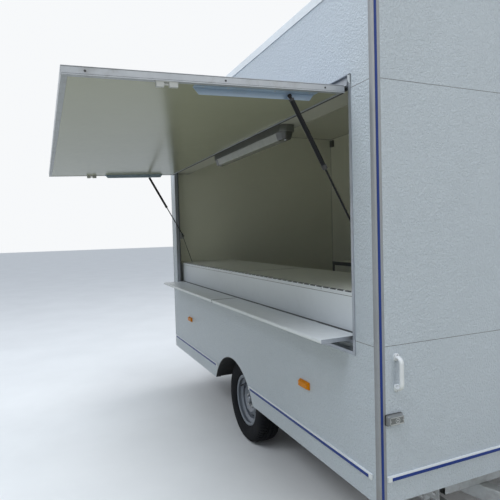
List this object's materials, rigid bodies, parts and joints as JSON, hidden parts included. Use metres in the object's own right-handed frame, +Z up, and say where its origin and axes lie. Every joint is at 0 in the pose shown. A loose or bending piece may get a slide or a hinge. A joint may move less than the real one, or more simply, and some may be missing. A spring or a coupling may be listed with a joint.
{
  "type": "single-axle catering trailer",
  "caption": "Towed catering trailer with a lift-up serving hatch on gas struts, folding serving shelves, worktop, side door, drawbar and jockey wheel.",
  "frame": {"origin": "centre of the coupling's ball socket, 430 mm above the ground", "axes": "+X forward along the drawbar, +Y to the trailer's left, +Z up; the serving side faces -Y"},
  "size_m": [4.8772, 3.3663, 2.824],
  "materials": {
    "galvanised": "dull hot-dip galvanised",
    "zinc_steel": "zinc plated",
    "black_steel": "semi-gloss black",
    "rim_steel": "silver paint",
    "tyre": "matte",
    "rubber": "matte",
    "black_plastic": "matte",
    "plywood": "phenolic coated",
    "wall_white": "fine stucco, satin white",
    "aluminium": "anodised satin",
    "trim_white": "semi-gloss white",
    "blue_plastic": "semi-gloss blue",
    "gelcoat": "gloss white",
    "rail_white": "satin pale",
    "strut_black": "gloss black",
    "chrome": "polished",
    "board_white": "satin off-white laminate",
    "worktop_laminate": "satin laminate",
    "shelf_laminate": "satin laminate",
    "lamp_grey": "satin grey",
    "diffuser": "clear ribbed",
    "amber_lens": "gloss amber",
    "clear_lens": "gloss clear",
    "red_lens": "gloss red",
    "handle_white": "semi-gloss white"
  },
  "bodies": {
    "trailer": {"chassis_rails": "galvanised", "cross_members": "galvanised", "drawbar_arms": "galvanised", "coupling_head": "zinc_steel", "coupling_gaiter": "rubber", "handbrake_lever": "zinc_steel", "jockey_stand": "zinc_steel", "axle_beam": "galvanised", "stub_axles": "black_steel", "wheel_boxes": "black_plastic", "corner_steadies": "galvanised", "floor": "plywood", "serving_wall": "wall_white", "left_wall": "wall_white", "front_wall": "wall_white", "rear_wall": "wall_white", "corner_posts": "aluminium", "trim_rails": "trim_white", "blue_inserts": "blue_plastic", "roof_panel": "wall_white", "roof_edge": "trim_white", "opening_frame": "aluminium", "strut_brackets": "zinc_steel", "counter_unit": "board_white", "worktop": "worktop_laminate", "shelf_ledges": "aluminium", "header_box": "board_white", "lamp_base": "lamp_grey", "lamp_diffuser": "diffuser", "back_counter": "board_white", "door_frame": "aluminium", "side_markers": "amber_lens", "front_lamps": "clear_lens", "grab_handles": "handle_white", "rear_lamps": "red_lens"},
    "wheel_left": {"rim_left": "rim_steel", "tyre_left": "tyre"},
    "wheel_right": {"rim_right": "rim_steel", "tyre_right": "tyre"},
    "caster": {"jockey_fork": "zinc_steel"},
    "caster_wheel": {"jockey_wheel": "rubber"},
    "hatch": {"hatch_panel": "gelcoat", "hatch_frame": "aluminium", "hatch_latches": "handle_white", "strut_rails": "rail_white"},
    "shelf_front": {"shelf_front": "shelf_laminate"},
    "shelf_rear": {"shelf_rear": "shelf_laminate"},
    "strut_cylinder_front": {"strut_cylinder_front": "strut_black"},
    "strut_cylinder_rear": {"strut_cylinder_rear": "strut_black"},
    "strut_rod_front": {"strut_rod_front": "chrome"},
    "strut_rod_rear": {"strut_rod_rear": "chrome"},
    "side_door": {"side_door": "wall_white", "door_handle": "black_plastic"}
  },
  "joints": [
    {"name": "wheel_left_spin", "type": "hinge", "parent": "trailer", "child": "wheel_left", "pos_m": [-3.078, 0.8605, -0.11], "axis": [0, 1, 0], "continuous": true},
    {"name": "wheel_right_spin", "type": "hinge", "parent": "trailer", "child": "wheel_right", "pos_m": [-3.078, -0.8605, -0.11], "axis": [0, 1, 0], "continuous": true},
    {"name": "caster_swivel", "type": "hinge", "parent": "trailer", "child": "caster", "pos_m": [-0.47, 0.18989, -0.33], "axis": [0, 0, 1], "continuous": true},
    {"name": "caster_wheel_spin", "type": "hinge", "parent": "caster", "child": "caster_wheel", "pos_m": [-0.505, 0.18989, -0.33], "axis": [0, 1, 0], "continuous": true},
    {"name": "hatch_lift", "type": "hinge", "parent": "trailer", "child": "hatch", "pos_m": [-3.05, -1.051, 1.876], "axis": [1, 0, 0], "range_deg": [0, 88]},
    {"name": "shelf_front_fold", "type": "hinge", "parent": "trailer", "child": "shelf_front", "pos_m": [-2.2735, -0.993, 0.705], "axis": [-1, 0, 0], "range_deg": [0, 90.1]},
    {"name": "shelf_rear_fold", "type": "hinge", "parent": "trailer", "child": "shelf_rear", "pos_m": [-3.8265, -0.993, 0.705], "axis": [-1, 0, 0], "range_deg": [0, 90.1]},
    {"name": "side_door_swing", "type": "hinge", "parent": "trailer", "child": "side_door", "pos_m": [-1.396, 1.059, 0.943], "axis": [0, 0, -1], "range_deg": [0, 110]},
    {"name": "strut_front_turn", "type": "hinge", "parent": "hatch", "child": "strut_cylinder_front", "pos_m": [-1.518, -1.32902, 1.81426], "axis": [-1, 0, 0], "range_deg": [0, 115]},
    {"name": "strut_front_slide", "type": "slide", "parent": "strut_cylinder_front", "child": "strut_rod_front", "axis": [0, -0.4878, 0.873], "range_m": [0, 0.308]},
    {"name": "strut_rear_turn", "type": "hinge", "parent": "hatch", "child": "strut_cylinder_rear", "pos_m": [-4.582, -1.32902, 1.81426], "axis": [-1, 0, 0], "range_deg": [0, 115]},
    {"name": "strut_rear_slide", "type": "slide", "parent": "strut_cylinder_rear", "child": "strut_rod_rear", "axis": [0, -0.4878, 0.873], "range_m": [0, 0.308]}
  ],
  "couplings": [
    {"joint": "shelf_front_fold", "follows": "hatch_lift", "ratio": 1.0227},
    {"joint": "shelf_rear_fold", "follows": "hatch_lift", "ratio": 1.0227},
    {"joint": "strut_front_turn", "follows": "hatch_lift", "ratio": 1.3057},
    {"joint": "strut_front_slide", "follows": "hatch_lift", "m_per_rad": 0.2005},
    {"joint": "strut_rear_turn", "follows": "hatch_lift", "ratio": 1.3057},
    {"joint": "strut_rear_slide", "follows": "hatch_lift", "m_per_rad": 0.2005}
  ]
}
